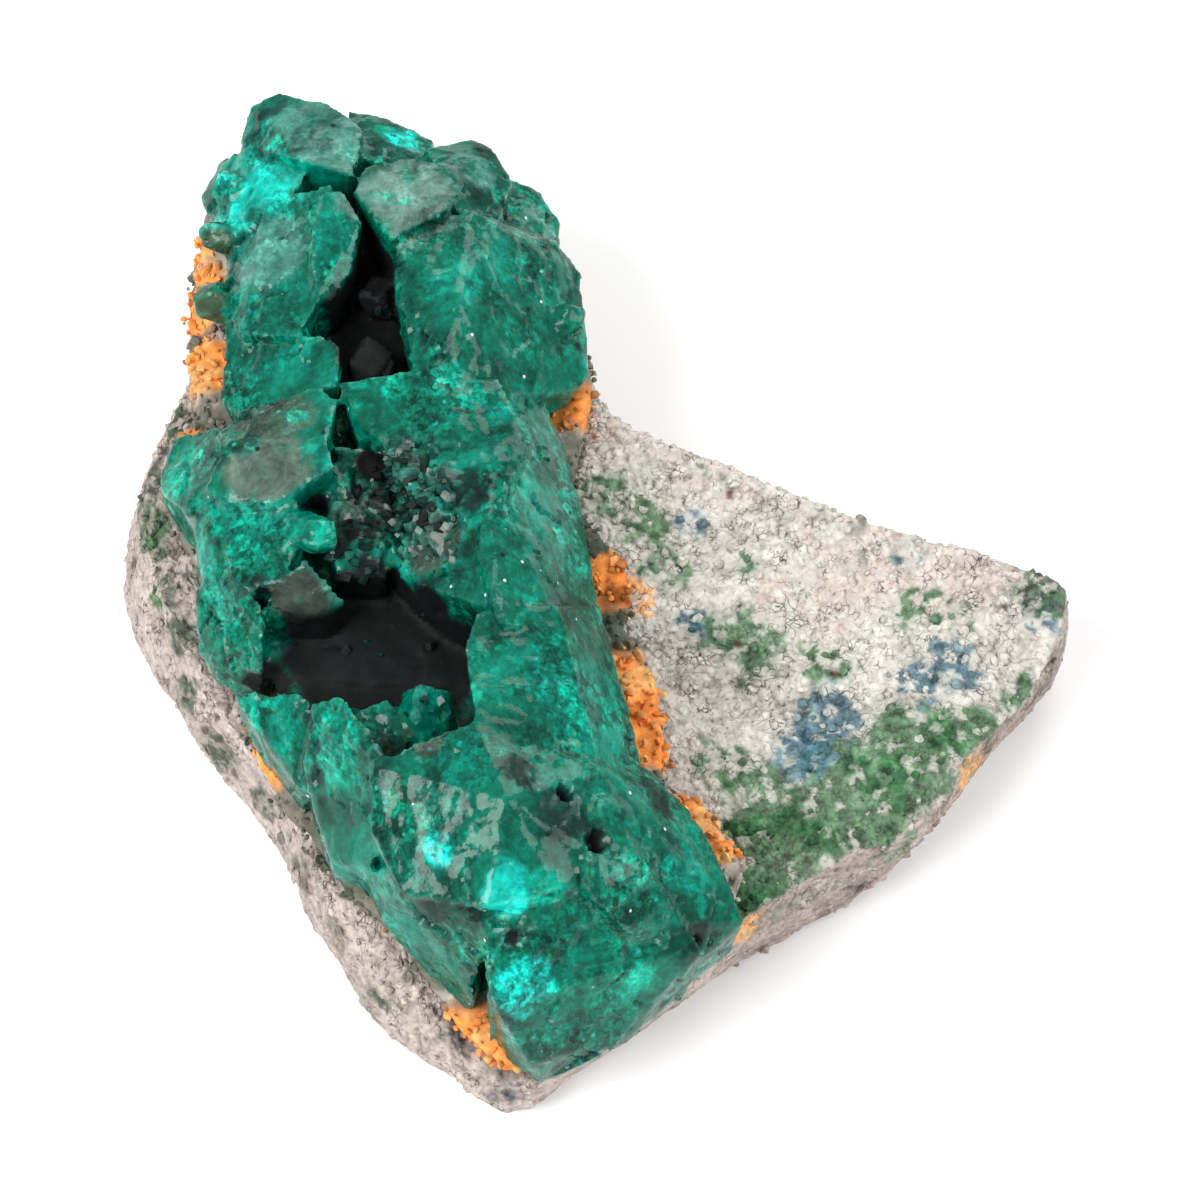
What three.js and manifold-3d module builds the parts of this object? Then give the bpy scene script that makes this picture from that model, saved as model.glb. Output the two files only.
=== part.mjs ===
// A hand-sized dioptase specimen: a ridge of intergrown emerald-green dioptase crystals on a broken
// piece of pale granular rock, with a thin rusty seam of limonite between the two.
// Millimetres, +Z up. +X is to the right and +Y to the back as the specimen is usually looked at.
// It rests on the flat broken underside of the rock, and the origin is the middle of that underside's box.
import * as THREE from "three";
import { ConvexGeometry } from "three/addons/geometries/ConvexGeometry.js";
import { mergeVertices } from "three/addons/utils/BufferGeometryUtils.js";
import Module from "manifold-3d";

const wasm = await Module();
wasm.setup();

// Driving dimensions

const CONTACT_GAP = 0.3; // clearance kept between two pieces that touch
const SEAM_THICKNESS = 0.9; // limonite under the crystals
const BED_HEIGHT = 8.8; // top of the rock in the middle
const BED_RISE = 0.09; // the rock's top climbs to the back, mm per mm
const BED_DROOP = 0.035; // and falls to both sides, mm per mm
const LEDGE_DROP = 1.3; // step down across the right wing of the rock
const LEDGE_WIDTH = 1.6;
const LEDGE_FROM = new THREE.Vector2(3.5, -2.2);
const LEDGE_TO = new THREE.Vector2(20, -8.6);

// The rock's upper edge, anticlockwise from the right tip: x, y, z, and how far the wall spreads
// outward below it
const ROCK_RIM = [
  [23.5, 0.0, 7.6, 0.2],
  [21.2, 0.9, 8.1, 0.8],
  [17.6, 2.0, 8.8, 1.4],
  [13.4, 3.1, 9.3, 1.8],
  [9.2, 4.5, 9.6, 2.0],
  [5.0, 6.0, 9.7, 2.0],
  [1.2, 8.4, 9.8, 1.2],
  [-0.9, 11.2, 9.8, 0.6],
  [-1.7, 15.2, 9.6, 0.4],
  [-3.6, 20.0, 9.4, 0.8],
  [-7.6, 23.0, 9.4, 1.0],
  [-12.4, 24.0, 9.4, 1.0],
  [-16.8, 23.7, 9.2, 1.0],
  [-20.2, 21.2, 9.0, 0.7],
  [-20.1, 17.4, 8.8, 0.6],
  [-19.9, 13.2, 8.6, 1.0],
  [-21.8, 9.4, 8.4, 1.6],
  [-23.0, 5.4, 8.4, 1.2],
  [-22.4, 0.6, 8.0, 1.3],
  [-20.6, -4.0, 7.8, 0.6],
  [-18.2, -8.0, 7.4, 0.3],
  [-15.6, -12.0, 7.2, 0.2],
  [-13.8, -15.6, 7.0, 0.6],
  [-11.4, -19.0, 6.4, 0.4],
  [-8.8, -22.0, 5.6, 0.4],
  [-6.4, -24.4, 4.6, 0.1],
  [-4.0, -25.6, 3.6, 0.1],
  [-1.6, -24.4, 4.0, -0.7],
  [2.4, -21.6, 5.4, -1.2],
  [6.6, -18.4, 6.6, -0.6],
  [10.2, -15.9, 7.0, 0.3],
  [13.6, -13.6, 7.2, 0.3],
  [16.4, -10.9, 7.4, -0.8],
  [19.6, -8.1, 7.6, -1.4],
  [22.0, -4.6, 7.6, -0.9],
];
const ROCK_CENTRE = new THREE.Vector2(-5, -4);
const ROCK_SEGMENTS = 72; // round the rock
const TOP_RINGS = 10; // from the upper edge in to the centre
const WALL_RINGS = 5; // from the upper edge down to the foot
const FOOT_HEIGHT = 1.0; // the broken lower edge turns in below this
const FOOT_TURN_IN = 0.9;
const WALL_BULGE = 0.5;
const LUMPS = [
  { size: 5.2, height: 0.75 },
  { size: 2.3, height: 0.38 },
];

// Where the limonite seam reaches, in plan
const SEAM_OUTLINE = [
  [-0.6, 10.2],
  [-1.2, 7.0],
  [-1.6, 3.4],
  [-0.2, 1.2],
  [1.3, -0.8],
  [1.0, -3.2],
  [2.6, -6.0],
  [3.0, -9.6],
  [2.6, -11.6],
  [5.0, -12.6],
  [6.8, -15.8],
  [6.2, -18.0],
  [3.8, -19.8],
  [0.0, -22.4],
  [-2.2, -24.6],
  [-4.6, -25.0],
  [-6.8, -23.2],
  [-9.0, -20.2],
  [-12.6, -16.6],
  [-14.0, -14.0],
  [-16.4, -11.6],
  [-17.2, -7.4],
  [-19.0, -2.4],
  [-20.8, 2.2],
  [-21.4, 6.4],
  [-20.2, 9.2],
  [-20.8, 13.0],
  [-21.0, 18.0],
  [-19.8, 21.6],
  [-13.0, 23.4],
  [-7.0, 22.4],
  [-3.0, 18.4],
  [-1.2, 14.0],
];

const SEAM_PRISM_HEIGHT = 20; // well above the rock

// The ridge's large intergrown crystals, from the back to the front, each by the corners of its upper faces
const BLOCKS = [
  // back end: block, right shoulder, pale broken face, corner, right flank
  [[-18, 25, 14], [-16.5, 25.5, 14.5], [-14, 24.5, 15], [-12, 22.5, 15.5], [-12.5, 19, 16.5],
    [-15.5, 20, 16.5], [-18.5, 23, 13.5]],
  [[-13, 25, 13.5], [-11, 25, 13], [-8.5, 23.5, 13], [-8.5, 20.5, 14.5], [-12, 21, 15]],
  [[-12.5, 18, 16.5], [-12, 19.5, 16.5], [-10, 20.5, 16], [-7.5, 20, 16], [-7, 18, 16.5],
    [-8, 16, 17.5], [-10.5, 14.5, 17.5]],
  [[-9, 22, 14.5], [-6.5, 23, 14], [-5.5, 22.5, 14], [-4.5, 20.5, 14], [-5, 17.5, 15],
    [-7, 16.5, 16.5], [-7.5, 18.5, 16.5]],
  [[-5, 21.5, 13], [-3, 21, 12], [-2, 19.5, 11.5], [-2, 18, 11.5], [-4.5, 16, 14.5], [-5.5, 18, 14.5]],
  // right of the upper hollow
  [[-10.5, 15, 17], [-6.5, 17, 16.5], [-4.5, 16, 15.5], [-2, 17.5, 12.5], [-1, 16, 12], [-0.5, 10, 12],
    [-1.5, 8.5, 12.5], [-5, 6.5, 15.5], [-9, 6.5, 16.5], [-10, 10, 16], [-7, 10.5, 18]],
  // left of the upper hollow: sliver, shoulder, clear prism, lower shoulder
  [[-18, 22.5, 14], [-15, 19.5, 15.5], [-16, 18, 15.5], [-19, 17, 13.5], [-20, 19.5, 12],
    [-20.5, 21, 11.5], [-19.5, 23, 12]],
  [[-19, 17.5, 12.5], [-17, 18.5, 15], [-13.5, 18.5, 16.5], [-13.5, 17, 16.5], [-14, 12, 16],
    [-15, 10, 15.5], [-18, 11, 14], [-19, 14, 12.5]],
  [[-14, 18, 17], [-13, 18, 17], [-12, 16, 17], [-12.5, 13.5, 16], [-13.5, 12, 15.5], [-14.5, 12, 16],
    [-14.5, 15.5, 17]],
  [[-19, 13.5, 12.5], [-15, 11, 15], [-13, 9.5, 15.5], [-13, 7.5, 15.5], [-15, 6.5, 14.5],
    [-18, 7, 12.5], [-19, 8.5, 12]],
  // left of the main hollow: bright end, two worn faces, body, foot, pyramid
  [[-22, 4.5, 11.5], [-21.5, 6.5, 11.5], [-19, 6, 13.5], [-18.5, 4.5, 14.5], [-18.5, 2, 15],
    [-20.5, 1, 13.5], [-22, 3.5, 11.5]],
  [[-19, 5, 14.5], [-17.5, 6.5, 14.5], [-14, 7, 15.5], [-13, 6, 16], [-13.5, 3, 16.5],
    [-18.5, 3.5, 15.5]],
  [[-19.5, 1.5, 15], [-18.5, 4, 15.5], [-13.5, 3.5, 16.5], [-13, 1.5, 17], [-16, 0, 16],
    [-18.5, 0.5, 15]],
  [[-20.5, 2.5, 12.5], [-19.5, 1.5, 14], [-15, 0.5, 16], [-14.5, -1, 15.5], [-15.5, -4, 15],
    [-17.5, -4, 14.5], [-19.5, -3, 12.5], [-20, -1, 12]],
  [[-20, -2.5, 12], [-17.5, -3.5, 14.5], [-16.5, -5, 14.5], [-16.5, -6.5, 13.5], [-16.5, -7.5, 12.5],
    [-19, -6.5, 11], [-20, -4.5, 11]],
  [[-14.5, -3, 16], [-12.5, -4.5, 14], [-13.5, -5, 13.5], [-16.5, -5, 13], [-16.5, -4.5, 14]],
  // crest between the hollows, the low rough ground left of it, then the long smooth faces on the right
  [[-13, 7, 16], [-9, 7.5, 16.5], [-5, 7, 16.5], [-3.5, 3, 17], [-4.5, -0.5, 17.5], [-8, -1.5, 17],
    [-12, 4, 15.5]],
  [[-13, 4, 15], [-10, 3, 15], [-10.5, -3, 14], [-13, -3, 14], [-13.5, 1, 15]],
  [[-10, 2.5, 15], [-8, 0.5, 16.5], [-5.5, -0.5, 17.5], [-5.5, -4, 17], [-5.5, -6.5, 17], [-9, -4, 15],
    [-10.5, -2, 14]],
  [[-5, 6.5, 15.5], [-3, 8, 13], [-2, 6.5, 12], [-1, 2.5, 12], [-0.5, -1, 12], [0, -4, 12],
    [-2, -7, 16], [-5, -8, 18], [-6, -4, 17.5], [-5.5, 0.5, 17.5]],
  [[-6, -7, 17.5], [-2, -6, 16.5], [0, -3.5, 12], [0.5, -7.5, 11.5], [2, -12, 11.5], [0, -14.5, 15],
    [-4, -15, 17], [-6, -13, 17.5], [-6.5, -9, 17.5]],
  // front: two facets on the left, the mass behind the tip, right end, left flank, tip, its left face
  [[-18, -8.5, 12], [-14.5, -9.5, 14], [-14, -10.5, 14], [-14.5, -13.5, 11], [-16.5, -10.5, 11]],
  [[-14, -10.5, 14.5], [-12.5, -10.5, 15.5], [-11, -14, 16], [-10, -14.5, 16], [-11, -15.5, 14.5],
    [-11, -18, 12.5], [-13, -17, 10.5], [-14, -14.5, 11], [-14.5, -12.5, 12.5]],
  [[-11, -14.5, 16], [-6, -13, 17.5], [-3.5, -15, 17], [0, -14.5, 15.5], [2.5, -12.5, 11.5],
    [4.5, -14.5, 11], [2, -20, 14.5], [-2, -21, 15.5], [-5.5, -22, 15.5], [-9.5, -20.5, 14],
    [-11, -17.5, 14.5], [-4.5, -17.5, 18]],
  [[0, -16.5, 16], [3, -13.5, 12], [5, -15.5, 11], [6.5, -18.5, 10], [7, -19.5, 9], [4.5, -21.5, 8.5],
    [1, -22, 13.5], [-1, -21, 16]],
  [[-11.5, -17.5, 11], [-9.5, -20, 14], [-6, -21.5, 15], [-5.5, -22.5, 14.5], [-6, -23.5, 10],
    [-8.5, -21.5, 8], [-10.5, -19.5, 9]],
  [[-5.5, -21.5, 15], [-2, -20, 16], [2, -19, 15], [5, -21.5, 10], [3, -23, 7.5], [0.5, -25, 6.5],
    [-2.5, -26, 5], [-3.5, -26.5, 8], [-5, -25.5, 12], [-5.5, -24, 13.5]],
  [[-6.5, -23.5, 10], [-4.5, -25, 12.5], [-2.5, -26.5, 8.5], [-3, -26, 5], [-4.5, -25, 6]],
];
const BLOCK_TAPER = 0.88; // a block narrows this much towards its root

// The mass that the blocks stand on, and the floor of the hollows between them
const CORE = [
  [[-18, 21, 12], [-12, 23, 12], [-6, 21.5, 12], [-3, 17, 12], [-3, 9, 12], [-17, 8, 12],
    [-18, 14, 12]],
  [[-17.5, 10, 12], [-3, 10, 12], [-1.5, -2, 11.5], [-1, -8, 11], [-16.5, -7, 11], [-20, 2, 11]],
  [[-17, -5, 11], [-1, -7, 11], [4, -15, 10], [4, -18, 9], [-2, -24, 7], [-5, -23, 7],
    [-12.5, -16, 9.5]],
];

// Single crystals that stand out: at is a crystal's middle, size its half width and half length, heading
// the way its axis leans, lean how far from upright, twist its turn about that axis, in degrees
const CRYSTALS = [
  { at: [-14.2, -1.4, 15.6], size: [1.0, 1.8], heading: -40, lean: 66, twist: 10 },
  { at: [-10.9, -11.8, 12.2], size: [1.7, 3.0], heading: 70, lean: 34, twist: 0 },
  { at: [-8.3, -11.2, 12.8], size: [1.5, 3.0], heading: 110, lean: 28, twist: 30 },
  { at: [-13.2, -10.7, 11.6], size: [1.1, 2.4], heading: 20, lean: 40, twist: 15 },
  { at: [-11.4, 8.8, 13.2], size: [1.3, 2.6], heading: 100, lean: 30, twist: 5 },
  { at: [-11.0, 14.0, 13.0], size: [1.2, 2.6], heading: -90, lean: 34, twist: 25 },
];

// Dioptase is trigonal: a six-sided prism whose ends are three rhombic faces sloping at this angle
const RHOMB_SLOPE = THREE.MathUtils.degToRad(51);

// Small crystals in a row along the foot of the ridge, on its left and behind it: from and to are shares of
// the way round the seam's outline
const FRINGE = {
  count: 10,
  from: 0.7,
  to: 1,
  inset: 2.1,
  rise: 2.4,
  width: 0.9,
  length: 1.8,
  lean: 48,
  twist: 60,
  jitter: 0.35,
};

// Shapes

// A closed geometry as a solid.
function solidOf(geometry) {
  const bare = new THREE.BufferGeometry().setAttribute("position", geometry.getAttribute("position"));
  if (geometry.getIndex()) bare.setIndex(geometry.getIndex());
  const merged = mergeVertices(bare, 1e-4);
  return new wasm.Manifold(
    new wasm.Mesh({
      numProp: 3,
      vertProperties: merged.getAttribute("position").array,
      triVerts: new Uint32Array(merged.getIndex().array),
    }),
  );
}

// A solid as a geometry.
function geometryOf(solid) {
  const { vertProperties, triVerts } = solid.getMesh();
  const geometry = new THREE.BufferGeometry();
  geometry.setAttribute("position", new THREE.BufferAttribute(vertProperties, 3));
  geometry.setIndex(new THREE.BufferAttribute(triVerts, 1));
  geometry.computeVertexNormals();
  return geometry;
}

// The outside of the largest body of a solid, with crumbs and sealed voids left out.
function mainBody(solid) {
  return solid.decompose().reduce((a, b) => (a.volume() > b.volume() ? a : b));
}

// Repeatable value in 0 to 1 for a lattice point.
function latticeValue(x, y, z) {
  const mixed = Math.sin(x * 127.1 + y * 311.7 + z * 74.7) * 43758.5453;
  return mixed - Math.floor(mixed);
}

// Smooth lumpy field in -1 to 1, with lumps about one unit across.
function lumpy(x, y, z) {
  const [i, j, k] = [x, y, z].map(Math.floor);
  const [u, v, w] = [x - i, y - j, z - k].map((t) => t * t * (3 - 2 * t));
  const mix = THREE.MathUtils.lerp;
  const edge = (dy, dz) => mix(latticeValue(i, j + dy, k + dz), latticeValue(i + 1, j + dy, k + dz), u);
  return 2 * mix(mix(edge(0, 0), edge(1, 0), v), mix(edge(0, 1), edge(1, 1), v), w) - 1;
}

function lumpHeight(p) {
  return LUMPS.reduce((sum, { size, height }) => sum + height * lumpy(p.x / size, p.y / size, p.z / size), 0);
}

// Height of the rock's top away from its edge, with the ledge on the right wing.
function bedHeight(x, y) {
  const along = LEDGE_TO.clone().sub(LEDGE_FROM).normalize();
  const offset = new THREE.Vector2(x, y).sub(LEDGE_FROM);
  const below = along.y * offset.x - along.x * offset.y;
  const reach = THREE.MathUtils.smoothstep(offset.dot(along), -2, 3);
  const drop = LEDGE_DROP * reach * THREE.MathUtils.smoothstep(below, 0, LEDGE_WIDTH);
  return BED_HEIGHT + BED_RISE * y - BED_DROOP * Math.abs(x) - drop;
}

// The rock: rings of points from the middle of its top, over the upper edge, down the wall, to the foot.
function rockGeometry() {
  const rim = new THREE.CatmullRomCurve3(
    ROCK_RIM.map(([x, y, z]) => new THREE.Vector3(x, y, z)),
    true,
  ).getPoints(ROCK_SEGMENTS);
  const spread = new THREE.CatmullRomCurve3(
    ROCK_RIM.map(([, , , s]) => new THREE.Vector3(s, 0, 0)),
    true,
  ).getPoints(ROCK_SEGMENTS);
  rim.pop();
  spread.pop();

  const outward = rim.map((p, i) => {
    const next = rim[(i + 1) % ROCK_SEGMENTS];
    const last = rim[(i + ROCK_SEGMENTS - 1) % ROCK_SEGMENTS];
    return new THREE.Vector3(next.y - last.y, last.x - next.x, 0).normalize();
  });

  const rings = [];
  for (let ring = 1; ring <= TOP_RINGS; ring++) {
    const share = ring / TOP_RINGS;
    rings.push(
      rim.map((edge) => {
        const x = THREE.MathUtils.lerp(ROCK_CENTRE.x, edge.x, share);
        const y = THREE.MathUtils.lerp(ROCK_CENTRE.y, edge.y, share);
        const nearEdge = THREE.MathUtils.smoothstep(share, 0.6, 1);
        const z = THREE.MathUtils.lerp(bedHeight(x, y), edge.z, nearEdge);
        const p = new THREE.Vector3(x, y, z);
        return p.setZ(z + lumpHeight(p));
      }),
    );
  }
  const upperEdge = rings[rings.length - 1];
  for (let ring = 1; ring <= WALL_RINGS; ring++) {
    const share = ring / WALL_RINGS;
    rings.push(
      upperEdge.map((edge, i) => {
        const reach = spread[i].x * share + WALL_BULGE * Math.sin(Math.PI * share);
        const p = edge.clone().addScaledVector(outward[i], reach);
        p.z = THREE.MathUtils.lerp(edge.z, FOOT_HEIGHT, share);
        return p.addScaledVector(outward[i], lumpHeight(p));
      }),
    );
  }
  const foot = rings[rings.length - 1];
  rings.push(foot.map((p, i) => p.clone().addScaledVector(outward[i], -FOOT_TURN_IN).setZ(0)));

  const top = new THREE.Vector3(ROCK_CENTRE.x, ROCK_CENTRE.y, bedHeight(ROCK_CENTRE.x, ROCK_CENTRE.y));
  const bottom = new THREE.Vector3(ROCK_CENTRE.x, ROCK_CENTRE.y, 0);
  return ringGeometry(top, rings, bottom);
}

// A closed skin over rings of equal count, between two end points.
function ringGeometry(top, rings, bottom) {
  const count = rings[0].length;
  const points = [top, ...rings.flat(), bottom];
  const at = (ring, i) => 1 + ring * count + (i % count);
  const faces = [];
  for (let i = 0; i < count; i++) {
    faces.push(0, at(0, i), at(0, i + 1));
    for (let ring = 0; ring + 1 < rings.length; ring++) {
      faces.push(at(ring, i), at(ring + 1, i), at(ring + 1, i + 1));
      faces.push(at(ring, i), at(ring + 1, i + 1), at(ring, i + 1));
    }
    faces.push(points.length - 1, at(rings.length - 1, i + 1), at(rings.length - 1, i));
  }
  return new THREE.BufferGeometry().setFromPoints(points).setIndex(faces);
}

// A block of the ridge: the hull of its upper corners and of the same corners, drawn in, on the rock.
function blockGeometry(corners) {
  const upper = corners.map((c) => new THREE.Vector3(...c));
  const centre = upper.reduce((sum, p) => sum.add(p), new THREE.Vector3()).divideScalar(upper.length);
  const root = upper.map((p) => {
    const q = p.clone().sub(centre).multiplyScalar(BLOCK_TAPER).add(centre);
    return q.setZ(Math.min(bedHeight(q.x, q.y), p.z - 1));
  });
  return new ConvexGeometry([...upper, ...root]);
}

// One dioptase crystal: a six-sided prism with three rhombic faces on each end.
function crystalGeometry({ at, size, heading, lean, twist }) {
  const [halfWidth, halfLength] = size;
  const drop = (Math.tan(RHOMB_SLOPE) * halfWidth) / 2;
  const corner = (k, z) => {
    const angle = (k * Math.PI) / 3;
    return new THREE.Vector3(halfWidth * Math.cos(angle), halfWidth * Math.sin(angle), z);
  };
  const points = [new THREE.Vector3(0, 0, halfLength), new THREE.Vector3(0, 0, -halfLength)];
  for (let k = 0; k < 6; k++) {
    points.push(corner(k, halfLength - drop * (1 + (k % 2))));
    points.push(corner(k, -halfLength + drop * (2 - (k % 2))));
  }
  const degrees = THREE.MathUtils.degToRad;
  return new ConvexGeometry(points)
    .rotateZ(degrees(twist))
    .rotateY(degrees(lean))
    .rotateZ(degrees(heading))
    .translate(...at);
}

// The row of small crystals along the foot of the ridge, leaning outward.
function fringeCrystals() {
  const { count, from, to, inset, rise, width, length, lean, twist, jitter } = FRINGE;
  const foot = new THREE.CatmullRomCurve3(SEAM_OUTLINE.map(([x, y]) => new THREE.Vector3(x, y, 0)), true);
  const vary = (i, channel) => 1 + jitter * (2 * latticeValue(i, channel, 7) - 1);
  return Array.from({ length: count }, (_, i) => {
    const place = THREE.MathUtils.lerp(from, to, (i + 0.5 * vary(i, 0)) / count);
    const p = foot.getPointAt(place);
    const along = foot.getTangentAt(place);
    const inward = new THREE.Vector3(along.y, -along.x, 0);
    p.addScaledVector(inward, inset * vary(i, 1));
    return {
      at: [p.x, p.y, bedHeight(p.x, p.y) + rise * vary(i, 2)],
      size: [width * vary(i, 3), length * vary(i, 4)],
      heading: THREE.MathUtils.radToDeg(Math.atan2(-inward.y, -inward.x)),
      lean: lean * vary(i, 5),
      twist: twist * vary(i, 6),
    };
  });
}

// The seam's outline as a tall prism.
function seamPrism() {
  const outline = new THREE.Shape(SEAM_OUTLINE.map(([x, y]) => new THREE.Vector2(x, y)));
  return solidOf(new THREE.ExtrudeGeometry(outline, { depth: SEAM_PRISM_HEIGHT, bevelEnabled: false }));
}

// Pieces

const rock = solidOf(rockGeometry());
const SEAM_TOP = CONTACT_GAP + SEAM_THICKNESS;

// All that the rock passes through when it is lifted to each of these heights in turn.
function liftedRock(...heights) {
  return heights.map((height) => rock.translate([0, 0, height])).reduce((a, b) => a.add(b), rock);
}

const seam = mainBody(liftedRock(SEAM_TOP).subtract(liftedRock(CONTACT_GAP)).intersect(seamPrism()));

const ridge = [
  ...[...CORE, ...BLOCKS].map(blockGeometry),
  ...[...CRYSTALS, ...fringeCrystals()].map(crystalGeometry),
].map(solidOf).reduce((a, b) => a.add(b));
const dioptase = mainBody(ridge.subtract(liftedRock(CONTACT_GAP, SEAM_TOP, SEAM_TOP + CONTACT_GAP)));

function piece(name, solid, color, roughness) {
  const mesh = new THREE.Mesh(
    geometryOf(solid),
    new THREE.MeshStandardMaterial({ color, roughness, metalness: 0 }),
  );
  mesh.name = name;
  return mesh;
}

const specimen = new THREE.Group();
specimen.add(
  piece("matrix_rock", rock, 0xcfc5b8, 0.95),
  piece("limonite_seam", seam, 0xc9631c, 0.95),
  piece("dioptase_crystals", dioptase, 0x0b7a5c, 0.2),
);

// Origin at the middle of the box's underside
const box = new THREE.Box3().setFromObject(specimen);
const middle = box.getCenter(new THREE.Vector3());
specimen.position.set(-middle.x, -middle.y, -box.min.z);

export default specimen;
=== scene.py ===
"""Dioptase specimen: emerald-green crystals on pale granular rock, with a rusty limonite seam between.

Shapes are worked out in millimetres with numpy and turned into metres when a mesh is made.
"""
import math

import bpy
import numpy as np
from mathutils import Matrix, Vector
from mathutils.bvhtree import BVHTree


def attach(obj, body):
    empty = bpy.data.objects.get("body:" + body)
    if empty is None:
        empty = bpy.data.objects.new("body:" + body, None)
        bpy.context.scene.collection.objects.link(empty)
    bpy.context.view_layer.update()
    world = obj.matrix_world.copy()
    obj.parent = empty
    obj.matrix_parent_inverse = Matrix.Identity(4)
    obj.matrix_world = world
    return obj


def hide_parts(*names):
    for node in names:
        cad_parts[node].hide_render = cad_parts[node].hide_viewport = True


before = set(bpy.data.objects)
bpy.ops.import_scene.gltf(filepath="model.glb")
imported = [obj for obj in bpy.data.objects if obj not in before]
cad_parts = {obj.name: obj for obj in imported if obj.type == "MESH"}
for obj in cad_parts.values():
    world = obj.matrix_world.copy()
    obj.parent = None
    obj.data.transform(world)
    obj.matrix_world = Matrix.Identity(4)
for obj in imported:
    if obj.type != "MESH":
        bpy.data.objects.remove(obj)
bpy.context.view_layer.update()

MM = 0.001

# Camera: the view that the photograph has, with the whole specimen in a 60 mm wide frame
VIEW_TARGET = np.array([0.275, -1.01, 9.0])
VIEW_ELEVATION = math.radians(60)
VIEW_DISTANCE = 320.0
VIEW_WIDTH = 60.0
SENSOR_WIDTH = 36.0

# The crystals' ridge runs this far round from the Y axis
RIDGE_TURN = math.radians(19)
RIDGE_LEAN = math.tan(RIDGE_TURN)
RIDGE_END = (-15.0, 22.0)

# Fineness of the surfaces
CRYSTAL_VOXEL = 0.21
ROCK_VOXEL = 0.17
ROCK_HIDDEN_SHARE = 0.12
SEAM_VOXEL = 0.24
GRAIN_SIZE = 0.55
LOOSE_SPACING = 0.6
CRUMB_SPACING = 0.34

# Smallest and largest radius of the small pieces, and the seeds of their random places
DRUSE_RADIUS = (0.14, 0.46)
LOOSE_RADIUS = (0.14, 0.30)
CRUMB_RADIUS = (0.08, 0.28)
DRUSE_SEED = 5
LOOSE_SEED = 11
CRUMB_SEED = 17

# Fineness of the shaders' textures, in features a metre
CLOUD_SCALE = 420
VEIL_SCALE = 1700
FLECK_SCALE = 3600
CLUSTER_SCALE = 260
MOSAIC_SCALE = 2200
FLAKE_SCALE = 2300
SPARKLE_HIGHLIGHT_SCALE = 1150
SPOT_SCALE = 900
ROCK_GRAIN_SCALE = 2300
ROCK_MOTTLE_SCALE = 1500
ROCK_SPECK_SCALE = 3000
ROCK_GROUP_SCALE = 800
CRUST_MOTTLE_SCALE = 1600

# How light passes through and off the dioptase
DIOPTASE_IOR = 1.67
DIOPTASE_SPECULAR = 0.04
DIOPTASE_TRANSMISSION = 0.25
ABSORPTION_COLOUR = (0.02, 0.80, 0.68, 1)
ABSORPTION_DENSITY = 500.0

# Studio: the light all round, and the lamps' name, place in metres, width in metres and watts
WORLD_LIGHT = 0.55
LAMPS = [
    ("key", (-0.34, -0.22, 0.46), 0.40, 3.8),
    ("fill", (0.42, -0.10, 0.40), 0.40, 1.8),
    ("back", (0.20, 0.48, 0.34), 0.40, 1.4),
]

# Colours, linear light
EMERALD = (0.000, 0.150, 0.092)
DEEP = (0.000, 0.028, 0.020)
TEAL = (0.000, 0.255, 0.175)
LEAF = (0.000, 0.390, 0.255)
TURQUOISE = (0.006, 0.680, 0.560)
# Painted sheen: a grey standing for light reflected off crystal faces
SEA_GREY_SHEEN = (0.080, 0.265, 0.210)
# Painted sheen: a pale grey standing for light reflected off flat crystal faces
PALE_GREY_SHEEN = (0.165, 0.300, 0.250)
BROWN_GREY = (0.075, 0.140, 0.105)
# Painted sheen: a grey standing for light reflected off a flat crystal face
LENS_GREY_SHEEN = (0.125, 0.170, 0.140)
DARK_GREY = (0.056, 0.060, 0.050)
# Painted shade in the gaps between the small crystals
DRUSE_GAP_SHADE = (0.016, 0.040, 0.032)
BLACK = (0.0022, 0.0006, 0.0026)
# Painted sheen: a frosty pale colour standing for light reflected off a flat crystal face
FROST_SHEEN = (0.300, 0.420, 0.370)
GLINT = (0.260, 0.300, 0.270)
# Painted sheen on edges that stand out, as if catching the light
EDGE_SHEEN = (0.090, 0.420, 0.335)
VEIL = (0.006, 0.400, 0.290)
FLAKE = (0.040, 0.500, 0.400)
# Painted sparkle highlights: tiny white glints of reflected light
SPARKLE_HIGHLIGHT = (0.800, 0.880, 0.820)

CREAM = (0.565, 0.540, 0.485)
PINKISH = (0.570, 0.490, 0.440)
FLESH = (0.440, 0.365, 0.330)
GREIGE = (0.190, 0.180, 0.140)
CREVICE = (0.060, 0.050, 0.042)
MALACHITE = (0.026, 0.140, 0.045)
PALE_GREEN = (0.150, 0.280, 0.160)
AZURE = (0.042, 0.140, 0.190)
PALE_BLUE = (0.210, 0.330, 0.390)
RUST_RED = (0.110, 0.016, 0.012)
SLATE_GREEN = (0.035, 0.070, 0.045)

ORANGE = (0.940, 0.310, 0.070)
OCHRE = (0.900, 0.450, 0.160)
BROWN = (0.380, 0.110, 0.025)
MOSS = (0.060, 0.085, 0.045)
INK = (0.080, 0.078, 0.090)
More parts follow.
